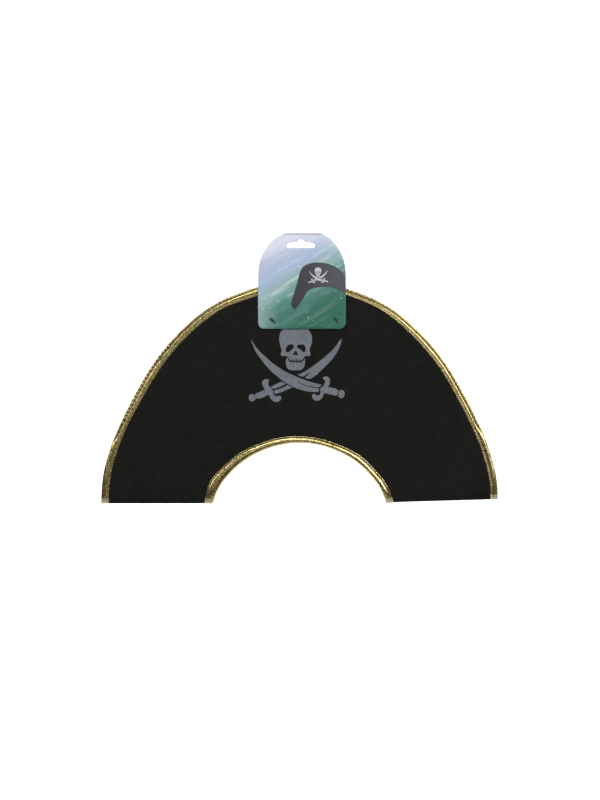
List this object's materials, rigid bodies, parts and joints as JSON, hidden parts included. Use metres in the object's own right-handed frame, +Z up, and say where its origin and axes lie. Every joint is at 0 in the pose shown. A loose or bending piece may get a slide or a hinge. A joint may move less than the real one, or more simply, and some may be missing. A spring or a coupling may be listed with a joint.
{
  "type": "pirate hat",
  "caption": "Folded-flat black felt pirate hat with gold bound edges, a silver skull and crossed sabres print, an opening for the head and a pinned hanging header card.",
  "frame": {"origin": "middle of the hat at the level of the folded lower edges of its wings, midway between the front and back panels", "axes": "+Z up through the crown, -Y out of the printed front, +X to the right of someone facing the front"},
  "size_m": [0.4528, 0.0162, 0.3078],
  "materials": {
    "black_felt": "matte pressed felt",
    "gold_tape": "crinkled metallic lame",
    "gold_thread": "satin",
    "silver_print": "fine silver glitter ink",
    "card": "glossy coated card",
    "black_nylon": "satin moulded nylon"
  },
  "bodies": {
    "shell": {"front_panel_arch": "black_felt", "back_panel_arch": "black_felt", "left_side_fold": "black_felt", "right_side_fold": "black_felt", "front_outer_trim": "gold_tape", "back_outer_trim": "gold_tape", "front_outer_trim_thread": "gold_thread", "back_outer_trim_thread": "gold_thread", "edge_seam_needle_thread": "gold_thread", "edge_seam_bobbin_thread": "gold_thread", "header_card": "card"},
    "brow": {"front_panel_brow": "black_felt", "front_inner_trim": "gold_tape", "front_inner_trim_thread": "gold_thread", "print_skull": "silver_print", "print_jaw": "silver_print", "print_front_blade": "silver_print", "print_rear_blade_upper": "silver_print", "print_rear_blade_edge": "silver_print", "print_rear_blade_back": "silver_print", "print_right_hilt": "silver_print", "print_right_pommel": "silver_print", "print_left_hilt": "silver_print", "print_left_pommel": "silver_print"},
    "nape": {"back_panel_nape": "black_felt", "back_inner_trim": "gold_tape", "back_inner_trim_thread": "gold_thread"},
    "left_pin": {"left_tag_pin": "black_nylon"},
    "right_pin": {"right_tag_pin": "black_nylon"}
  },
  "joints": [
    {"name": "brow_bend", "type": "hinge", "parent": "shell", "child": "brow", "pos_m": [0, -0.0037, 0.195], "axis": [-1, 0, 0], "range_deg": [0, 28]},
    {"name": "nape_bend", "type": "hinge", "parent": "shell", "child": "nape", "pos_m": [0, 0.0037, 0.195], "axis": [1, 0, 0], "range_deg": [0, 28]},
    {"name": "left_pin_spin", "type": "hinge", "parent": "shell", "child": "left_pin", "pos_m": [-0.0308, 0, 0.2086], "axis": [0, 1, 0], "continuous": true},
    {"name": "right_pin_spin", "type": "hinge", "parent": "shell", "child": "right_pin", "pos_m": [0.0416, 0, 0.2086], "axis": [0, 1, 0], "continuous": true}
  ]
}
